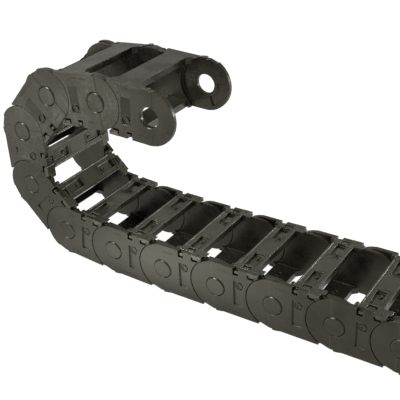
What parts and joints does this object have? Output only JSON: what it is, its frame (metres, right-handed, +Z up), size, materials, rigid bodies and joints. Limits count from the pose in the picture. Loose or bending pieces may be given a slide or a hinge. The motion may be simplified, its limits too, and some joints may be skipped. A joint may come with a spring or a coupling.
{
  "type": "cable drag chain",
  "caption": "Plastic cable drag chain of hinged links in a U-shaped loop, open channel for cables, clip-off inner crossbars, pivot holes at the free end and pins at the fixed end.",
  "frame": {"origin": "middle of the underside of the last link's outer crossbar, the resting face at the fixed end", "axes": "+X along the lower run towards the fixed end, +Y across the chain to its far side, +Z up"},
  "size_m": [0.4811, 0.092, 0.1993],
  "materials": {
    "link_nylon": "satin",
    "crossbar_nylon": "satin"
  },
  "bodies": {
    "link_01": {"link_01": "link_nylon"},
    "link_02": {"link_02": "link_nylon"},
    "link_03": {"link_03": "link_nylon"},
    "link_04": {"link_04": "link_nylon"},
    "link_05": {"link_05": "link_nylon"},
    "link_06": {"link_06": "link_nylon"},
    "link_07": {"link_07": "link_nylon"},
    "link_08": {"link_08": "link_nylon"},
    "link_09": {"link_09": "link_nylon"},
    "link_10": {"link_10": "link_nylon"},
    "link_11": {"link_11": "link_nylon"},
    "link_12": {"link_12": "link_nylon"},
    "crossbar_01": {"crossbar_01": "crossbar_nylon"},
    "crossbar_02": {"crossbar_02": "crossbar_nylon"},
    "crossbar_03": {"crossbar_03": "crossbar_nylon"},
    "crossbar_04": {"crossbar_04": "crossbar_nylon"},
    "crossbar_05": {"crossbar_05": "crossbar_nylon"},
    "crossbar_06": {"crossbar_06": "crossbar_nylon"},
    "crossbar_07": {"crossbar_07": "crossbar_nylon"},
    "crossbar_08": {"crossbar_08": "crossbar_nylon"},
    "crossbar_09": {"crossbar_09": "crossbar_nylon"},
    "crossbar_10": {"crossbar_10": "crossbar_nylon"},
    "crossbar_11": {"crossbar_11": "crossbar_nylon"},
    "crossbar_12": {"crossbar_12": "crossbar_nylon"}
  },
  "joints": [
    {"name": "pivot_01_02", "type": "hinge", "parent": "link_02", "child": "link_01", "pos_m": [-0.3107, 0, 0.1732], "axis": [0, 1, 0], "range_deg": [-7.45, 36.39]},
    {"name": "pivot_02_03", "type": "hinge", "parent": "link_03", "child": "link_02", "pos_m": [-0.36653, 0, 0.16877], "axis": [0, -1, 0], "range_deg": [0, 43.84]},
    {"name": "pivot_03_04", "type": "hinge", "parent": "link_04", "child": "link_03", "pos_m": [-0.40372, 0, 0.1269], "axis": [0, -1, 0], "range_deg": [-1.05, 42.79]},
    {"name": "pivot_04_05", "type": "hinge", "parent": "link_05", "child": "link_04", "pos_m": [-0.40257, 0, 0.07091], "axis": [0, -1, 0], "range_deg": [-0.44, 43.4]},
    {"name": "pivot_05_06", "type": "hinge", "parent": "link_06", "child": "link_05", "pos_m": [-0.36326, 0, 0.03103], "axis": [0, -1, 0], "range_deg": [-3.86, 39.98]},
    {"name": "pivot_06_07", "type": "hinge", "parent": "link_07", "child": "link_06", "pos_m": [-0.30751, 0, 0.02572], "axis": [0, -1, 0], "range_deg": [-40.42, 3.42]},
    {"name": "pivot_07_08", "type": "hinge", "parent": "link_08", "child": "link_07", "pos_m": [-0.25155, 0, 0.02375], "axis": [0, 1, 0], "range_deg": [-2.02, 41.83]},
    {"name": "pivot_08_09", "type": "hinge", "parent": "link_09", "child": "link_08", "pos_m": [-0.19555, 0, 0.02375], "axis": [0, 1, 0], "range_deg": [0, 43.84]},
    {"name": "pivot_09_10", "type": "hinge", "parent": "link_10", "child": "link_09", "pos_m": [-0.13955, 0, 0.02375], "axis": [0, 1, 0], "range_deg": [0, 43.84]},
    {"name": "pivot_10_11", "type": "hinge", "parent": "link_11", "child": "link_10", "pos_m": [-0.08355, 0, 0.02375], "axis": [0, 1, 0], "range_deg": [0, 43.84]},
    {"name": "pivot_11_12", "type": "hinge", "parent": "link_12", "child": "link_11", "pos_m": [-0.02755, 0, 0.02375], "axis": [0, 1, 0], "range_deg": [0, 43.84]},
    {"name": "clip_01", "type": "slide", "parent": "link_01", "child": "crossbar_01", "axis": [-0.0508, 0, -0.9987], "range_m": [0, 0.01]},
    {"name": "clip_02", "type": "slide", "parent": "link_02", "child": "crossbar_02", "axis": [0.0792, 0, -0.9969], "range_m": [0, 0.01]},
    {"name": "clip_03", "type": "slide", "parent": "link_03", "child": "crossbar_03", "axis": [0.7476, 0, -0.6641], "range_m": [0, 0.01]},
    {"name": "clip_04", "type": "slide", "parent": "link_04", "child": "crossbar_04", "axis": [0.9998, 0, 0.0205], "range_m": [0, 0.01]},
    {"name": "clip_05", "type": "slide", "parent": "link_05", "child": "crossbar_05", "axis": [0.7123, 0, 0.7019], "range_m": [0, 0.01]},
    {"name": "clip_06", "type": "slide", "parent": "link_06", "child": "crossbar_06", "axis": [0.0947, 0, 0.9955], "range_m": [0, 0.01]},
    {"name": "clip_07", "type": "slide", "parent": "link_07", "child": "crossbar_07", "axis": [0.0352, 0, 0.9994], "range_m": [0, 0.01]},
    {"name": "clip_08", "type": "slide", "parent": "link_08", "child": "crossbar_08", "axis": [0, 0, 1], "range_m": [0, 0.01]},
    {"name": "clip_09", "type": "slide", "parent": "link_09", "child": "crossbar_09", "axis": [0, 0, 1], "range_m": [0, 0.01]},
    {"name": "clip_10", "type": "slide", "parent": "link_10", "child": "crossbar_10", "axis": [0, 0, 1], "range_m": [0, 0.01]},
    {"name": "clip_11", "type": "slide", "parent": "link_11", "child": "crossbar_11", "axis": [0, 0, 1], "range_m": [0, 0.01]},
    {"name": "clip_12", "type": "slide", "parent": "link_12", "child": "crossbar_12", "axis": [0, 0, 1], "range_m": [0, 0.01]}
  ]
}
